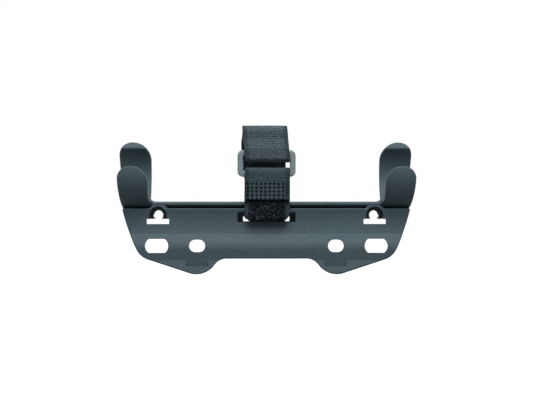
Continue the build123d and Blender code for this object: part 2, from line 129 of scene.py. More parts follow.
# ---- property groups --------------------------------------------------------------------
class BracketProperties(PropertyGroup):
    """Colours and grain of the moulded pieces."""

    body_colour: StringProperty(
        name="Body colour",
        description="Colour of the moulded body, sRGB hex",
        default="#3C4C53",
    )
    ring_colour: StringProperty(
        name="Ring colour",
        description="Colour of the strap's ring, sRGB hex",
        default="#717F83",
    )
    grain: FloatProperty(
        name="Grain",
        description="Size of the eroded grain, drawn coarser than the real one",
        default=0.8 * MM,
        unit="LENGTH",
    )


class StrapProperties(PropertyGroup):
    """Sizes and colours of the woven strap."""

    width: FloatProperty(
        name="Width",
        description="Width of both tapes",
        default=TAPE_WIDTH * MM,
        unit="LENGTH",
    )
    thickness: FloatProperty(
        name="Thickness", description="Thickness of a tape", default=1.25 * MM, unit="LENGTH"
    )
    hook_rib: FloatProperty(
        name="Hook tape rib",
        description="Spacing of the herringbone ribs on the hook tape's back",
        default=1.25 * MM,
        unit="LENGTH",
    )
    pile_rib: FloatProperty(
        name="Pile tape rib",
        description="Spacing of the twill ribs on the pile tape's back",
        default=1.0 * MM,
        unit="LENGTH",
    )
    selvedge: FloatProperty(
        name="Selvedge",
        description="Bare edge beside the pile",
        default=1.9 * MM,
        unit="LENGTH",
    )
    pile_loops: IntProperty(
        name="Pile loops", description="Number of loops in the pile", default=8000
    )
    hook_colour: StringProperty(
        name="Hook tape colour",
        description="Yarn of the hook tape, sRGB hex",
        default="#4B575C",
    )
    back_colour: StringProperty(
        name="Tape back colour",
        description="Yarn of the pile tape, sRGB hex",
        default="#3C494E",
    )
    pile_colour: StringProperty(
        name="Pile colour", description="Loops of the pile, sRGB hex", default="#06090D"
    )
    # a light colour painted on some loops as glints
    painted_glint_colour: StringProperty(
        name="Glint colour",
        description="Brightest loops of the pile, sRGB hex",
        default="#6E7A85",
    )


class StageProperties(PropertyGroup):
    """Camera, lamps and floor."""

    camera_distance: FloatProperty(
        name="Camera distance",
        description="From the plate's face",
        default=0.66,
        unit="LENGTH",
    )
    lens: FloatProperty(name="Lens", description="Focal length in millimetres", default=96.5)
    floor_drop: FloatProperty(
        name="Floor drop", description="Floor below the bolt slots", default=0.1, unit="LENGTH"
    )
    top_light: FloatProperty(
        name="Top light",
        description="Power of the overhead softbox",
        default=7.7,
        unit="POWER",
    )
    side_light: FloatProperty(
        name="Side light", description="Power of each side softbox", default=0.5, unit="POWER"
    )


# ---- helpers ----------------------------------------------------------------------------
def linear(hex_colour):
    """Linear RGBA of an sRGB hex colour: each channel through the sRGB curve."""
    srgb = np.array([int(hex_colour[i : i + 2], 16) for i in (1, 3, 5)]) / 255
    rgb = np.where(srgb <= 0.04045, srgb / 12.92, ((srgb + 0.055) / 1.055) ** 2.4)
    return (*rgb.tolist(), 1.0)


def add_node(tree, kind, inputs=None, **settings):
    """Adds a node, applies its settings, and gives each input a value or a link."""
    node = tree.nodes.new(kind)
    for key, value in settings.items():
        setattr(node, key, value)
    for key, value in (inputs or {}).items():
        if isinstance(value, bpy.types.NodeSocket):
            tree.links.new(value, node.inputs[key])
        else:
            node.inputs[key].default_value = value
    return node


def new_material(name):
    """An empty node material and its tree, with a principled shader on its output."""
    material = bpy.data.materials.new(name)
    material.use_nodes = True
    tree = material.node_tree
    tree.nodes.clear()
    shader = add_node(tree, "ShaderNodeBsdfPrincipled")
    add_node(tree, "ShaderNodeOutputMaterial", {"Surface": shader.outputs["BSDF"]})
    return material, tree, shader


def rounded_line(corners, step):
    """Points each a step apart along a line with rounded corners, and its directions.

    A corner holds depth, height and radius. It gives way to an arc that touches both
    of its runs: the arc starts the radius times the tangent of half the turn before
    the corner.
    """
    corners, radii = np.split(np.array(corners, float), [2], axis=1)
    radii = radii[1:-1]
    runs = np.diff(corners, axis=0)
    ways = runs / np.linalg.norm(runs, axis=1, keepdims=True)
    into, onward = ways[:-1], ways[1:]
    cross = into[:, 0] * onward[:, 1] - into[:, 1] * onward[:, 0]
    turn = np.arctan2(cross, (into * onward).sum(axis=1))[:, None]
    start = corners[1:-1] - into * radii * np.tan(np.abs(turn) / 2)
    share = np.linspace(0, 1, ARC_POINTS)[None, :]
    angle = np.abs(turn) * share
    side = np.stack([-into[:, 1], into[:, 0]], axis=1) * np.sign(turn)
    arcs = (
        start[:, None, :]
        + into[:, None, :] * (radii * np.sin(angle))[..., None]
        + side[:, None, :] * (radii * (1 - np.cos(angle)))[..., None]
    )
    points = np.concatenate([corners[:1], arcs.reshape(-1, 2), corners[-1:]])
    keep = np.r_[True, np.linalg.norm(np.diff(points, axis=0), axis=1) > 1e-6]
    points = points[keep]
    run = np.r_[0, np.cumsum(np.linalg.norm(np.diff(points, axis=0), axis=1))]
    along = np.linspace(0, run[-1], int(run[-1] / step) + 1)
    line = np.stack([np.interp(along, run, points[:, k]) for k in (0, 1)], axis=1)
    tangent = np.gradient(line, along, axis=0)
    tangent /= np.linalg.norm(tangent, axis=1, keepdims=True)
    return along, line, tangent


def outside(before, corner, after, distance=LAYER):
    """Corner of the line that runs a distance to the right of a bent line.

    The corner plus the distance times the sum of both runs' right-hand directions,
    over 1 plus the cosine of the turn.
    """
    before, corner, after = (np.array(p, float) for p in (before, corner, after))
    into = (corner - before) / np.linalg.norm(corner - before)
    onward = (after - corner) / np.linalg.norm(after - corner)
    out = np.array([into[1] + onward[1], -into[0] - onward[0]])
    return corner + out * distance / (1 + into @ onward)


def smooth_step(value, low, high):
    """Rises from 0 at low to 1 at high, level at both ends.

    Three times the square of the share of the way, less twice its cube.
    """
    share = np.clip((value - low) / (high - low), 0, 1)
    return share * share * (3 - 2 * share)


def mesh_piece(name, points, faces, material, cloth=None, marks=None):
    """A smooth-shaded mesh in metres from points in millimetres, riding on the root.

    On a tape, cloth holds the distances across and along in millimetres and the face,
    and marks holds the welded zone (weld dots and a painted sheen between them), the
    melted ends and the ribs' strength. On the pile, marks holds each loop's random
    number, which picks the loops that get painted glints.
    """
    mesh = bpy.data.meshes.new(name)
    mesh.from_pydata((points.reshape(-1, 3) * MM).tolist(), [], faces.tolist())
    mesh.polygons.foreach_set("use_smooth", np.ones(len(mesh.polygons), bool))
    for key, values in (("cloth", cloth), ("marks", marks)):
        if values is not None:
            layer = mesh.attributes.new(key, "FLOAT_VECTOR", "POINT")
            layer.data.foreach_set("vector", values.astype(np.float32).ravel())
    mesh.materials.append(material)
    mesh.update()
    piece = bpy.data.objects.new(name, mesh)
    bpy.context.scene.collection.objects.link(piece)
    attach(piece, "root")
    return piece


# ---- the strap's lines --------------------------------------------------------------------
# Bends of the loop behind the trough: a depth from the heel's, and a height that is a
# share of the loop's own
LOOP_HEIGHT = LOOP_TOP_Z - SLOT_Z
BELLY = (HEEL_Y + 1.1, SLOT_Z + 0.3 * LOOP_HEIGHT)
SHOULDER = (HEEL_Y - 0.6, SLOT_Z + 0.6 * LOOP_HEIGHT)
CROWN = (HEEL_Y - 8.3, SLOT_Z + 0.85 * LOOP_HEIGHT)
TOP_REAR = (LAP_Y + 2.35, LOOP_TOP_Z)  # level run over the top, and down to the lap
TOP_FRONT = (LAP_Y, LOOP_TOP_Z)
LAP_END = (LAP_Y, LAP_Z)

# Corners from the tab's cut end to the lap: depth, height and radius
PILE_LINE = [
    (TAB_Y, TAB_END_Z, 0),
    (TAB_Y, TAB_LEAN_Z, 1.0),
    (OUTER_Y, SPREAD_Z, 1.0),
    (OUTER_Y, WRAP_Z, WRAP_R),
    (INNER_Y, WRAP_Z, WRAP_R),
    (INNER_Y, PART_Z, 1.0),
    (WELD_TOP_Y, WELD_TOP_Z, 1.0),
    (STRAP_Y, TAB_LEAN_Z, 2.0),
    (STRAP_Y, BOW_START_Z, 2.0),
    (BOW_Y, BOW_HIGH_Z, 2.0),
    (BOW_Y, BOW_LOW_Z, 1.3),
    (SLOT_FRONT_Y, SLOT_Z, 2.0),
    (SLOT_REAR_Y, SLOT_Z, 4.0),
    (HEEL_Y, HEEL_Z, 4.0),
    (*BELLY, 12.0),
    (*SHOULDER, 12.0),
    (*CROWN, CROWN_R),
    (*TOP_REAR, TOP_R),
    (*TOP_FRONT, TOP_R),
    (*LAP_END, 0),
]

CROWN_OUTSIDE = outside(SHOULDER, CROWN, TOP_REAR)
crown_way = np.array(SHOULDER) - CROWN
HOOK_END = CROWN_OUTSIDE + HOOK_RUN * crown_way / np.linalg.norm(crown_way)

# Corners from the hook tape's inner end, round the ring and over the top
HOOK_LINE = [
    (LAP_Y + LAYER, LAP_Z + 5.0, 0),
    (LAP_Y + LAYER, LAP_Z - 0.5, 1.5),
    (INNER_Y, LAP_Z - 3.0, 1.5),
    (INNER_Y, FOLD_Z, WRAP_R),
    (OUTER_Y, FOLD_Z, WRAP_R),
    (OUTER_Y, LAP_Z - 1.5, 3.0),
    (LAP_Y - LAYER, LAP_Z + 3.0, 3.0),
    (*outside(TOP_REAR, TOP_FRONT, LAP_END), TOP_R + LAYER),
    (*outside(CROWN, TOP_REAR, TOP_FRONT), TOP_R + LAYER),
    (*CROWN_OUTSIDE, CROWN_R + LAYER),
    (*HOOK_END, 0),
]


def gather(line):
    """Share of its width that the tape keeps: it draws in where it dips into the slot.

    1, less a share that fades out upwards and behind.
    """
    y, z = line[:, 0], line[:, 1]
    low = 1 - smooth_step(z, *GATHER_Z)
    return 1 - GATHER * low * (1 - smooth_step(y, *GATHER_Y))


def sideways(line):
    """How far the tape's middle lies to the side, in millimetres.

    It leans a little to the left towards the top and behind, as it was closed by
    hand, and is centred where the slot holds it.
    """
    y, z = line[:, 0], line[:, 1]
    front = np.interp(z, *LEAN_FRONT)
    rear = np.interp(z, *LEAN_REAR)
    return front + (rear - front) * smooth_step(y, *LEAN_DEPTH)


# ---- materials -----------------------------------------------------------------------------
def moulded_nylon(colour, grain):
    """Glass-filled nylon, injection moulded: a dull blue-grey with a fine eroded grain.

    The grain scatters the light into a soft, wide highlight, and the melt's flow
    leaves faint cloudy patches. The real grain is about a quarter of a millimetre
    wide and wouldn't show, so it is drawn about three times as coarse.
    """
    material, tree, shader = new_material("moulded_nylon")
    place = add_node(tree, "ShaderNodeTexCoord").outputs["Object"]
    grains = add_node(
        tree,
        "ShaderNodeTexNoise",
        {"Vector": place, "Scale": 1 / grain, "Detail": 3.0, "Roughness": 0.6},
    )
    clouds = add_node(
        tree, "ShaderNodeTexNoise", {"Vector": place, "Scale": FLOW_PATCHES, "Detail": 4.0}
    )
    shade = add_node(
        tree,
        "ShaderNodeMapRange",
        {"Value": clouds.outputs["Fac"], **NOISE_SPAN, "To Min": 0.92, "To Max": 1.08},
    )
    speckle = add_node(
        tree,
        "ShaderNodeMapRange",
        {"Value": grains.outputs["Fac"], **NOISE_SPAN, "To Min": 0.78, "To Max": 1.22},
    )
    both = add_node(
        tree,
        "ShaderNodeMath",
        {0: shade.outputs["Result"], 1: speckle.outputs["Result"]},
        operation="MULTIPLY",
    )
    tint = add_node(
        tree,
        "ShaderNodeVectorMath",
        {0: linear(colour)[:3], "Scale": both.outputs[0]},
        operation="SCALE",
    )
    rough = add_node(
        tree,
        "ShaderNodeMapRange",
        {"Value": clouds.outputs["Fac"], **NOISE_SPAN, "To Min": 0.62, "To Max": 0.72},
    )
    bump = add_node(
        tree,
        "ShaderNodeBump",
        {"Strength": 0.8, "Distance": 0.12 * MM, "Height": grains.outputs["Fac"]},
    )
    tree.links.new(tint.outputs["Vector"], shader.inputs["Base Color"])
    tree.links.new(rough.outputs["Result"], shader.inputs["Roughness"])
    tree.links.new(bump.outputs["Normal"], shader.inputs["Normal"])
    shader.inputs["IOR"].default_value = 1.53
    shader.inputs["Specular IOR Level"].default_value = 0.3
    return material


def moulded_acetal(colour):
    """Acetal, injection moulded in a polished tool: smooth, with a waxy shine."""
    material, tree, shader = new_material("moulded_acetal")
    place = add_node(tree, "ShaderNodeTexCoord").outputs["Object"]
    clouds = add_node(
        tree, "ShaderNodeTexNoise", {"Vector": place, "Scale": WAX_PATCHES, "Detail": 3.0}
    )
    shade = add_node(
        tree,
        "ShaderNodeMapRange",
        {"Value": clouds.outputs["Fac"], **NOISE_SPAN, "To Min": 0.94, "To Max": 1.06},
    )
    tint = add_node(
        tree,
        "ShaderNodeVectorMath",
        {0: linear(colour)[:3], "Scale": shade.outputs["Result"]},
        operation="SCALE",
    )
    rough = add_node(
        tree,
        "ShaderNodeMapRange",
        {"Value": clouds.outputs["Fac"], **NOISE_SPAN, "To Min": 0.3, "To Max": 0.4},
    )
    bump = add_node(
        tree,
        "ShaderNodeBump",
        {"Strength": 0.1, "Distance": 0.05 * MM, "Height": clouds.outputs["Fac"]},
    )
    tree.links.new(tint.outputs["Vector"], shader.inputs["Base Color"])
    tree.links.new(rough.outputs["Result"], shader.inputs["Roughness"])
    tree.links.new(bump.outputs["Normal"], shader.inputs["Normal"])
    shader.inputs["IOR"].default_value = 1.48
    return material


def woven_tape(name, colour, rib, zigzag, rib_valley_shade, pile=None, weld=None):
    """Woven nylon tape: zigzag ribs of filament yarn, with painted highlights and shade.

    rib is the ribs' spacing and zigzag the run along the tape between two turns of
    the herringbone, both in millimetres and as the photograph shows them. ground is
    the share of the colour's brightness left between the ribs, as painted shade, and the
    rib tops are painted up to 1.5 times as bright. The other face carries the pile's
    dark backing cloth where pile is a colour, and weld holds the pitch, start and
    radius of a grid of welds.
    """
    material, tree, shader = new_material(name)
    cloth = add_node(tree, "ShaderNodeAttribute", attribute_name="cloth")
    marks = add_node(tree, "ShaderNodeAttribute", attribute_name="marks")
    where = add_node(tree, "ShaderNodeSeparateXYZ", {"Vector": cloth.outputs["Vector"]})
    mark = add_node(tree, "ShaderNodeSeparateXYZ", {"Vector": marks.outputs["Vector"]})
    across, along, face = where.outputs
    # ribs: the distance across plus a share of the folded distance along
    folded = add_node(tree, "ShaderNodeMath", {0: along, 1: zigzag}, operation="PINGPONG")
    slant = add_node(
        tree,
        "ShaderNodeMath",
        {0: folded.outputs[0], 1: RIB_SLANT, 2: across},
        operation="MULTIPLY_ADD",
    )
    turns = add_node(
        tree, "ShaderNodeMath", {0: slant.outputs[0], 1: 2 * np.pi / rib}, operation="MULTIPLY"
    )
    wave = add_node(tree, "ShaderNodeMath", {0: turns.outputs[0]}, operation="SINE")
    # yarns: short stitches across each rib, two to three times as coarse as real ones,
    # which wouldn't show
    stitch = 0.68 * rib
    yarn_turns = add_node(
        tree, "ShaderNodeMath", {0: along, 1: 2 * np.pi / stitch}, operation="MULTIPLY"
    )
    yarn = add_node(tree, "ShaderNodeMath", {0: yarn_turns.outputs[0]}, operation="SINE")
    weave = add_node(
        tree,
        "ShaderNodeMath",
        {0: yarn.outputs[0], 1: 0.5, 2: wave.outputs[0]},
        operation="MULTIPLY_ADD",
    )
    height = add_node(
        tree,
        "ShaderNodeMapRange",
        {"Value": weave.outputs[0], "From Min": -1.2, "From Max": 1.2},
    )
    # fuzz: unevenness of about half a millimetre, as the yarns twist
    fuzz = add_node(
        tree,
        "ShaderNodeTexNoise",
        {"Vector": cloth.outputs["Vector"], "Scale": 2.2, "Detail": 4.0, "Roughness": 0.65},
    )
    # painted light: up to 1.5 times the colour on the rib tops as painted highlights, and less
    # between them as painted shade
    painted_rib_light = add_node(
        tree,
        "ShaderNodeMapRange",
        {"Value": height.outputs["Result"], "To Min": rib_valley_shade, "To Max": 1.5},
    )
    # the ribs fade into a plain weave at the selvedges
    banded = add_node(
        tree,
        "ShaderNodeMix",
        {"Factor": mark.outputs[2], "A": 0.55, "B": painted_rib_light.outputs["Result"]},
        data_type="FLOAT",
        clamp_factor=True,
    )
    uneven = add_node(
        tree,
        "ShaderNodeMapRange",
        {"Value": fuzz.outputs["Fac"], **NOISE_SPAN, "To Min": 0.75, "To Max": 1.25},
    )
    light = add_node(
        tree,
        "ShaderNodeMath",
        {0: banded.outputs["Result"], 1: uneven.outputs["Result"]},
        operation="MULTIPLY",
    )
    # between the welds the cloth is pressed flat; its shine there is painted, as a colour up
    # to 1.45 times as bright
    painted_weld_sheen = add_node(
        tree,
        "ShaderNodeMapRange",
        {"Value": mark.outputs[0], "To Min": 1.0, "To Max": 1.45},
    )
    light = add_node(
        tree,
        "ShaderNodeMath",
        {0: light.outputs[0], 1: painted_weld_sheen.outputs["Result"]},
        operation="MULTIPLY",
    )
    tint = add_node(
        tree,
        "ShaderNodeVectorMath",
        {0: linear(colour)[:3], "Scale": light.outputs[0]},
        operation="SCALE",
    )
    result = tint.outputs["Vector"]
    if pile:
        under = add_node(
            tree,
            "ShaderNodeMix",
            {"Factor": face, "A": result, "B": linear(pile)},
            data_type="RGBA",
            clamp_factor=True,
        )
        result = under.outputs["Result"]
    # welds and hot-cut ends are melted, dark and a little shiny
    melted = mark.outputs[1]
    if weld:
        away = []
        for place, pitch, start in zip((across, along), weld["pitch"], weld["start"]):
            cell = add_node(tree, "ShaderNodeMath", {0: place, 1: start}, operation="SUBTRACT")
            away.append(
                add_node(
                    tree,
                    "ShaderNodeMath",
                    {0: cell.outputs[0], 1: pitch / 2},
                    operation="PINGPONG",
                ).outputs[0]
            )
        off = add_node(tree, "ShaderNodeCombineXYZ", {"X": away[0], "Y": away[1]})
        distance = add_node(
            tree, "ShaderNodeVectorMath", {0: off.outputs[0]}, operation="LENGTH"
        )
        dot = add_node(
            tree,
            "ShaderNodeMapRange",
            {
                "Value": distance.outputs["Value"],
                "From Min": weld["radius"] * 1.08,
                "From Max": weld["radius"] * 0.88,
            },
        )
        dots = add_node(
            tree,
            "ShaderNodeMath",
            {0: dot.outputs["Result"], 1: mark.outputs[0]},
            operation="MULTIPLY",
        )
        melted = add_node(
            tree, "ShaderNodeMath", {0: dots.outputs[0], 1: melted}, operation="MAXIMUM"
        ).outputs[0]
    dark = add_node(
        tree,
        "ShaderNodeMix",
        {"Factor": melted, "A": result, "B": linear(MELTED)},
        data_type="RGBA",
        clamp_factor=True,
    )
    rough = add_node(
        tree, "ShaderNodeMapRange", {"Value": melted, "To Min": 0.72, "To Max": 0.6}
    )
    relief = add_node(
        tree,
        "ShaderNodeMath",
        {0: fuzz.outputs["Fac"], 1: 0.35, 2: height.outputs["Result"]},
        operation="MULTIPLY_ADD",
    )
    bump = add_node(
        tree,
        "ShaderNodeBump",
        {"Strength": 0.8, "Distance": 0.22 * MM, "Height": relief.outputs[0]},
    )
    tree.links.new(dark.outputs["Result"], shader.inputs["Base Color"])
    tree.links.new(rough.outputs["Result"], shader.inputs["Roughness"])
    tree.links.new(bump.outputs["Normal"], shader.inputs["Normal"])
    shader.inputs["Sheen Weight"].default_value = 0.03
    shader.inputs["Sheen Roughness"].default_value = 0.4
    shader.inputs["Sheen Tint"].default_value = linear(SHINE)
    shader.inputs["Specular IOR Level"].default_value = 0.2
    shader.inputs["Specular Tint"].default_value = linear(SHINE)
    return material


def looped_nylon(name, colour, painted_glint):
    """Nylon filament loops: dark threads, of which some get painted glints.

    The attribute holds a random number for each loop, and the highest of them are
    mixed towards a light colour, as painted highlights.
    """
    material, tree, shader = new_material(name)
    marks = add_node(tree, "ShaderNodeAttribute", attribute_name="marks")
    # painted glints: loops whose number is above 0.62 are mixed towards the light colour
    painted_glint_share = add_node(
        tree,
        "ShaderNodeMapRange",
        {"Value": marks.outputs["Fac"], "From Min": 0.62, "From Max": 1.0, "To Max": 1.0},
    )
    tint = add_node(
        tree,
        "ShaderNodeMix",
        {"Factor": painted_glint_share.outputs["Result"], "A": linear(colour), "B": linear(painted_glint)},
        data_type="RGBA",
    )
    tree.links.new(tint.outputs["Result"], shader.inputs["Base Color"])
    shader.inputs["Roughness"].default_value = 0.6
    shader.inputs["Specular IOR Level"].default_value = 0.2
    shader.inputs["Specular Tint"].default_value = linear(SHINE)
    return material


def seen_directly(tree):
    """Socket that is 1 for what the camera, a mirror or a glass sees, and 0 for light."""
    path = add_node(tree, "ShaderNodeLightPath")
    seen = path.outputs["Is Camera Ray"]
    for kind in ("Is Glossy Ray", "Is Transmission Ray"):
        seen = add_node(
            tree, "ShaderNodeMath", {0: seen, 1: path.outputs[kind]}, operation="MAXIMUM"
        ).outputs[0]
    return seen


def pale_paper():
    """Matt pale paper that looks white where it is lit, and grey in the object's shadow.

    Its glow to the eye is a little under white near the object, so that the lamps'
    light makes up the rest and a shadow shows, and full white farther out.
    """
    material, tree, shader = new_material("pale_paper")
    place = add_node(tree, "ShaderNodeTexCoord").outputs["Object"]
    away = add_node(tree, "ShaderNodeVectorMath", {0: place}, operation="LENGTH")
    white = add_node(
        tree,
        "ShaderNodeMapRange",
        {
            "Value": away.outputs["Value"],
            "From Min": 0.2,
            "From Max": 0.4,
            "To Min": 0.9,
            "To Max": 1.0,
        },
    )
    glow = add_node(
        tree,
        "ShaderNodeMath",
        {0: seen_directly(tree), 1: white.outputs["Result"]},
        operation="MULTIPLY",
    )
    tree.links.new(glow.outputs[0], shader.inputs["Emission Strength"])
    shader.inputs["Base Color"].default_value = linear(PAPER)
    shader.inputs["Roughness"].default_value = 0.9
    shader.inputs["Emission Color"].default_value = (1, 1, 1, 1)
    return material


# ---- tapes ---------------------------------------------------------------------------------
def rib_wave(across, along, rib, zigzag):
    """Height of the zigzag ribs, from -1 to 1.

    The sine of the distance across plus the slant times the distance along, which is
    folded back at every zigzag; one turn to each rib.
    """
    folded = zigzag - np.abs(along % (2 * zigzag) - zigzag)
    return np.sin((across[None, :] + RIB_SLANT * folded[:, None]) * 2 * np.pi / rib)


def ribbed_band(across, selvedge):
    """1 where the ribs stand out in a tape's middle, falling to 0.15 over its selvedges."""
    return 1 - 0.85 * smooth_step(np.abs(across), selvedge - 0.4, selvedge + 0.3)


def melted_ends(along, depth=0.5):
    """1 at the two hot-cut ends of a tape, fading to 0 within the depth."""
    return 1 - smooth_step(np.minimum(along, along[-1] - along), depth * 0.4, depth)


def scalloped_edge(along, face, rib, depth):
    """Lift of a tape's round edges, which are drawn in at each yarn.

    The depth times the sine of the distance along, one turn to each rib; 0 on the
    flat faces.
    """
    edge = np.where(np.abs(face) < FLAT_FACE, depth, 0.0)
    return edge[None, :] * np.sin(along[:, None] * 2 * np.pi / rib)


def tape_section(width, thickness, spacing):
    """Flat band with round edges, as a closed ring of across, through and face.

    The ring runs over the outer face, round one edge, back over the inner face and
    round the other edge. Each edge is half a circle.
    """
    half = thickness / 2
    reach = width / 2 - half
    flat = np.linspace(-reach, reach, int(2 * reach / spacing) + 1)
    level = np.full(len(flat), half)
    bend = np.linspace(0, np.pi, 7)[1:-1]  # five points round each edge
    bulge = half * np.sin(bend)
    across = np.concatenate([flat, reach + bulge, flat[::-1], -reach - bulge])
    through = np.concatenate([level, half * np.cos(bend), -level, -half * np.cos(bend)])
    return across, through, through / half


def tape_grid(line, tangent, along, section, relief):
    """Carries the section along the line; relief lifts each point off its face.

    A point is the line's point, plus the across distance on X, drawn in where the
    tape is gathered and moved to where it leans, plus the through distance and the
    relief along the line's outward direction.
    """
    across, through, face = section
    out = np.stack([tangent[:, 1], -tangent[:, 0]], axis=1)
    lift = through[None, :] + np.sign(through)[None, :] * relief
    points = np.empty((len(line), len(across), 3))
    points[..., 0] = across[None, :] * gather(line)[:, None] + sideways(line)[:, None]
    points[..., 1] = line[:, None, 0] + out[:, None, 0] * lift
    points[..., 2] = line[:, None, 1] + out[:, None, 1] * lift
    cloth = np.empty_like(points)
    cloth[..., 0] = across[None, :]
    cloth[..., 1] = along[:, None]
    cloth[..., 2] = face[None, :]
    return points, cloth


def tube_faces(rows, columns):
    """Quads of a grid whose columns close into a ring."""
    row, column = np.meshgrid(np.arange(rows - 1), np.arange(columns), indexing="ij")
    here = row * columns + column
    right = row * columns + (column + 1) % columns
    quads = np.stack([here, right, right + columns, here + columns], axis=-1)
    return quads.reshape(-1, 4)


def tape_faces(rows, columns):
    """A tape's tube and its two ends.

    An end's quads each reach from two points to their partners on the other face,
    which are as far from the ring's end as these are from its start.
    """
    j = np.arange(columns // 2 - 1)
    end = np.stack([j, j + 1, columns - 2 - j, columns - 1 - j], axis=-1)
    return np.concatenate(
        [tube_faces(rows, columns), end[:, ::-1], end + (rows - 1) * columns]
    )


# ---- operators -----------------------------------------------------------------------------
class BRACKET_OT_body(Operator):
    """Gives the moulded bracket its grained nylon and the ring its smooth acetal"""

    bl_idname = "bracket.body"
    bl_label = "Finish moulded pieces"

    def execute(self, context):
        sizes = context.scene.bracket_body
        finishes = {
            "bracket": moulded_nylon(sizes.body_colour, sizes.grain),
            "ring": moulded_acetal(sizes.ring_colour),
        }
        for node, material in finishes.items():
            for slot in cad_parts[node].material_slots:
                slot.material = material
        return {"FINISHED"}


class BRACKET_OT_pile_tape(Operator):
    """Weaves the pile tape with its welded tab, and raises its pile of loops"""

    bl_idname = "bracket.pile_tape"
    bl_label = "Weave pile tape"

    # all in millimetres
    step_along = 0.27  # between two rows of the mesh
    step_across = 0.26
    zigzag = 1.2  # along the tape between two turns of the herringbone
    rib_height = 0.03
    scallop = 0.06
    # painted shade: the share of the colour's brightness that is left between the ribs
    rib_valley_shade = 0.5  # share of light between the ribs
    weld_columns = 9
    weld_rows = 5
    weld_pitch = (2.02, 1.77)
    weld_shift = 0.45  # share of the pitch by which the grid lies to the left
    weld_low = 0.6  # lowest row above the tab's cut end
    weld_radius = 0.62
    weld_depth = 0.06
    no_weld = 9.0  # stands for a distance, in pitches, that is out of every weld's reach

    loop_seed = 11
    thread = 0.11  # half the yarn's thickness, twice the real one so that it shows
    root = 0.06  # how far a loop's feet sink into the tape
    span = (0.16, 0.32)  # half the distance between them
    rise = (0.3, 0.62)
    tip = 0.35  # usual slope of a tipped loop
    stations = 5
    sides = 3
    bare_slot_y = (-2.0, 8.6)  # no loops where the slot holds the tape
    bare_slot_z = SLOT_Z + 1.0
    bare_tab_y = 2.0  # nor under the tab
    bare_tab_z = TAB_END_Z - 0.2
    bare_hook_z = HOOK_END[1] - 0.5  # nor under the hook tape

    def welds(self, across, along):
        """Distances from the nearest weld, in pitches: across and along."""
        column = across / self.weld_pitch[0] + self.weld_shift
        row = (along - self.weld_low) / self.weld_pitch[1]
        in_columns = np.abs(column) < self.weld_columns / 2
        in_rows = (row > -0.5) & (row < self.weld_rows - 0.5)
        return (
            np.where(in_columns, column - np.round(column), self.no_weld),
            np.where(in_rows, row - np.round(row), self.no_weld),
        )

    def execute(self, context):
        sizes = context.scene.bracket_strap
        width, thickness, rib = sizes.width / MM, sizes.thickness / MM, sizes.pile_rib / MM
        selvedge = width / 2 - sizes.selvedge / MM
        along, line, tangent = rounded_line(PILE_LINE, self.step_along)
        section = tape_section(width, thickness, self.step_across)
        across, _, face = section
        woven = (face < -FLAT_FACE)[None, :]
        off_x, off_z = self.welds(across, along)
        distance = np.hypot(
            off_z[:, None] * self.weld_pitch[1], off_x[None, :] * self.weld_pitch[0]
        )
        sunk = 1 - smooth_step(distance, self.weld_radius * 0.8, self.weld_radius * 1.1)
        relief = (
            self.rib_height * rib_wave(across, along, rib, self.zigzag) * woven
            + scalloped_edge(along, face, rib, self.scallop)
            - self.weld_depth * sunk * woven
        )
        points, cloth = tape_grid(line, tangent, along, section, relief)
        covered = smooth_step(np.abs(across), selvedge - 0.2, selvedge + 0.2)
        cloth[..., 2] = np.where(face > 0, face * (1 - covered), 0.0)[None, :]
        marks = np.empty_like(points)
        # welded zone: the weld dots, and a painted sheen on the cloth between them
        marks[..., 0] = (np.abs(off_z) < 1)[:, None] * (np.abs(off_x) < 1)[None, :] * woven
        marks[..., 1] = melted_ends(along)[:, None]
        marks[..., 2] = ribbed_band(across, selvedge)
        weld = {
            "pitch": self.weld_pitch,
            "start": (-self.weld_shift * self.weld_pitch[0], self.weld_low),
            "radius": self.weld_radius,
        }
        tape = mesh_piece(
            "pile_tape_woven",
            points,
            tape_faces(*points.shape[:2]),
            woven_tape(
                "woven_nylon_twill",
                sizes.back_colour,
                rib,
                self.zigzag,
                self.rib_valley_shade,
                sizes.pile_colour,
                weld,
            ),
            cloth,
            marks,
        )
        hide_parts("pile_tape")
        self.raise_pile(sizes, line, tangent, thickness, selvedge)
        return {"FINISHED"}

    def raise_pile(self, sizes, line, tangent, thickness, selvedge):
        """Loops of yarn on the outer face, each a three-sided tube bent into an arch.

        An arch's middle line is half an ellipse, and each loop is turned, sized and
        tipped at random from a fixed seed.
        """
        rng = np.random.default_rng(self.loop_seed)
        loops = sizes.pile_loops
        y, z = line[:, 0], line[:, 1]
        front, rear = self.bare_slot_y
        in_slot = (y > front) & (y < rear) & (z < self.bare_slot_z)
        under_tab = (y < self.bare_tab_y) & (z > self.bare_tab_z)
        free = ~(in_slot | under_tab | (z > self.bare_hook_z))
        rows = rng.choice(np.flatnonzero(free), loops)
        spot = rng.uniform(-selvedge, selvedge, loops)
        turn = rng.uniform(0, np.pi, loops)[:, None, None]
        tip = rng.normal(0, self.tip, loops)[:, None, None]
        span = rng.uniform(*self.span, loops)[:, None, None]
        rise = rng.uniform(*self.rise, loops)[:, None, None]
        # loop in its own frame: x across the arch, depth through it, up off the tape
        bow = np.linspace(0, np.pi, self.stations)[None, :, None]
        side = np.linspace(0, 2 * np.pi, self.sides + 1)[None, None, :-1]
        arch_up = rise * np.sin(bow) - self.root
        x = span * np.cos(bow) + self.thread * np.cos(side) * np.cos(bow)
        depth = self.thread * np.sin(side) + tip * arch_up
        up = arch_up + self.thread * np.cos(side) * np.sin(bow)
        over = x * np.cos(turn) - depth * np.sin(turn)
        ahead = x * np.sin(turn) + depth * np.cos(turn)
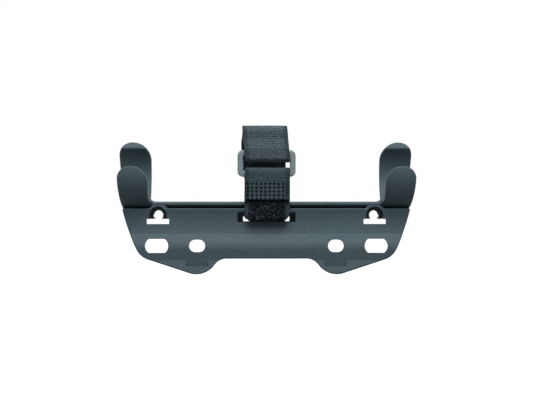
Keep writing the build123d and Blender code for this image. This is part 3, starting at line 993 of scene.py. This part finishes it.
        # and in its place on the tape
        out = np.stack([tangent[:, 1], -tangent[:, 0]], axis=1)
        points = np.empty(x.shape + (3,))
        middle = spot * gather(line)[rows] + sideways(line)[rows]
        points[..., 0] = over + middle[:, None, None]
        for axis in (0, 1):
            points[..., axis + 1] = (
                line[rows, axis][:, None, None]
                + tangent[rows, axis][:, None, None] * ahead
                + out[rows, axis][:, None, None] * (up + thickness / 2)
            )
        one = np.roll(tube_faces(self.stations, self.sides)[:, ::-1], 1, axis=1)
        first = np.arange(loops) * self.stations * self.sides
        faces = (one[None] + first[:, None, None]).reshape(-1, 4)
        # a random number for each loop, which picks the loops that get painted glints
        painted_glint = np.empty_like(points)
        painted_glint[...] = rng.uniform(0, 1, loops)[:, None, None, None]
        mesh_piece(
            "pile_loops",
            points,
            faces,
            looped_nylon("looped_nylon_pile", sizes.pile_colour, sizes.painted_glint_colour),
            marks=painted_glint,
        )


class BRACKET_OT_hook_tape(Operator):
    """Weaves the hook tape, round the ring's upper bar and over the top"""

    bl_idname = "bracket.hook_tape"
    bl_label = "Weave hook tape"

    # all in millimetres
    step_along = 0.2  # between two rows of the mesh
    step_across = 0.22
    zigzag = 1.45  # along the tape between two turns of the herringbone
    rib_height = 0.06
    rib_reach = 8.4  # the ribs stand out up to here from the middle
    scallop = 0.08
    # painted shade: the share of the colour's brightness that is left between the ribs
    rib_valley_shade = 0.35  # share of light between the ribs

    def execute(self, context):
        sizes = context.scene.bracket_strap
        width, thickness, rib = sizes.width / MM, sizes.thickness / MM, sizes.hook_rib / MM
        along, line, tangent = rounded_line(HOOK_LINE, self.step_along)
        section = tape_section(width, thickness, self.step_across)
        across, _, face = section
        woven = (face < -FLAT_FACE)[None, :]
        ribs = rib_wave(across, along, rib, self.zigzag)
        relief = (
            self.rib_height * ribs * woven * ribbed_band(across, self.rib_reach)
            + scalloped_edge(along, face, rib, self.scallop)
        )
        points, cloth = tape_grid(line, tangent, along, section, relief)
        marks = np.zeros_like(points)
        marks[..., 1] = melted_ends(along)[:, None]
        marks[..., 2] = ribbed_band(across, width / 2 - sizes.selvedge / MM)
        tape = mesh_piece(
            "hook_tape_woven",
            points,
            tape_faces(*points.shape[:2]),
            woven_tape(
                "woven_nylon_herringbone", sizes.hook_colour, rib, self.zigzag, self.rib_valley_shade
            ),
            cloth,
            marks,
        )
        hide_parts("hook_tape")
        return {"FINISHED"}


class BRACKET_OT_stage(Operator):
    """Sets up the floor, the soft lamps, the white surround and the camera"""

    bl_idname = "bracket.stage"
    bl_label = "Set the stage"

    # all in metres
    floor_reach = 6.0
    eye_x = -0.012
    eye_z = 0.02118
    softboxes = (  # name, place, edge length, setting that holds the power
        ("top_softbox", (0.03, -0.4, 0.64), 0.5, "top_light"),
        ("left_softbox", (-0.9, -0.3, 0.3), 0.4, "side_light"),
        ("right_softbox", (0.9, -0.3, 0.3), 0.4, "side_light"),
    )

    def execute(self, context):
        stage = context.scene.bracket_stage
        scene = context.scene
        scene.view_settings.view_transform = "Standard"

        # floor: pale paper that shows white to the camera and keeps the object's shadow
        floor_mesh = bpy.data.meshes.new("floor")
        reach, drop = self.floor_reach, -stage.floor_drop
        corners = ((-reach, -reach), (reach, -reach), (reach, reach), (-reach, reach))
        floor_mesh.from_pydata([(*corner, drop) for corner in corners], [], [(0, 1, 2, 3)])
        floor = bpy.data.objects.new("floor", floor_mesh)
        scene.collection.objects.link(floor)
        floor_mesh.materials.append(pale_paper())

        # surround: white where it is seen, and a faint grey light on the object
        world = bpy.data.worlds.new("surround")
        scene.world = world
        world.use_nodes = True
        sky = world.node_tree
        sky.nodes.clear()
        strength = add_node(
            sky,
            "ShaderNodeMapRange",
            {"Value": seen_directly(sky), "To Min": 0.04, "To Max": 1.0},
        )
        background = add_node(
            sky,
            "ShaderNodeBackground",
            {"Color": (1, 1, 1, 1), "Strength": strength.outputs["Result"]},
        )
        add_node(sky, "ShaderNodeOutputWorld", {"Surface": background.outputs[0]})

        aim = Vector((0, 0, self.eye_z))
        for name, place, size, setting in self.softboxes:
            lamp = bpy.data.lights.new(name, "AREA")
            lamp.size = size
            lamp.energy = getattr(stage, setting)
            holder = bpy.data.objects.new(name, lamp)
            holder.location = place
            holder.rotation_euler = (aim - Vector(place)).to_track_quat("-Z", "Y").to_euler()
            scene.collection.objects.link(holder)

        lens = bpy.data.cameras.new("camera")
        lens.lens = stage.lens
        lens.sensor_width = 36.0
        lens.clip_start = 0.01
        camera = bpy.data.objects.new("camera", lens)
        camera.location = (self.eye_x, -stage.camera_distance, self.eye_z)
        way = aim - camera.location
        camera.rotation_euler = way.to_track_quat("-Z", "Y").to_euler()
        scene.collection.objects.link(camera)
        scene.camera = camera
        return {"FINISHED"}


class BRACKET_PT_panel(Panel):
    """Lists the bracket's pieces and their sizes"""

    bl_idname = "BRACKET_PT_panel"
    bl_label = "Pump bracket"
    bl_space_type = "VIEW_3D"
    bl_region_type = "UI"
    bl_category = "Bracket"

    def draw(self, context):
        scene = context.scene
        parts = (
            (scene.bracket_body, ("bracket.body",)),
            (scene.bracket_strap, ("bracket.pile_tape", "bracket.hook_tape")),
            (scene.bracket_stage, ("bracket.stage",)),
        )
        for group, operators in parts:
            box = self.layout.box()
            for key in group.__annotations__:
                box.prop(group, key)
            for operator in operators:
                box.operator(operator)


GROUPS = {
    "bracket_body": BracketProperties,
    "bracket_strap": StrapProperties,
    "bracket_stage": StageProperties,
}
CLASSES = (
    BRACKET_OT_body,
    BRACKET_OT_pile_tape,
    BRACKET_OT_hook_tape,
    BRACKET_OT_stage,
    BRACKET_PT_panel,
)


def register():
    """Registers the property groups, operators and panel."""
    for key, group in GROUPS.items():
        bpy.utils.register_class(group)
        setattr(bpy.types.Scene, key, PointerProperty(type=group))
    for cls in CLASSES:
        bpy.utils.register_class(cls)


def unregister():
    """Takes them away again."""
    for cls in reversed(CLASSES):
        bpy.utils.unregister_class(cls)
    for key, group in GROUPS.items():
        delattr(bpy.types.Scene, key)
        bpy.utils.unregister_class(group)


def main():
    """Registers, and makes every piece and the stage."""
    register()
    bpy.ops.bracket.body()
    bpy.ops.bracket.pile_tape()
    bpy.ops.bracket.hook_tape()
    bpy.ops.bracket.stage()


if __name__ == "__main__":
    main()
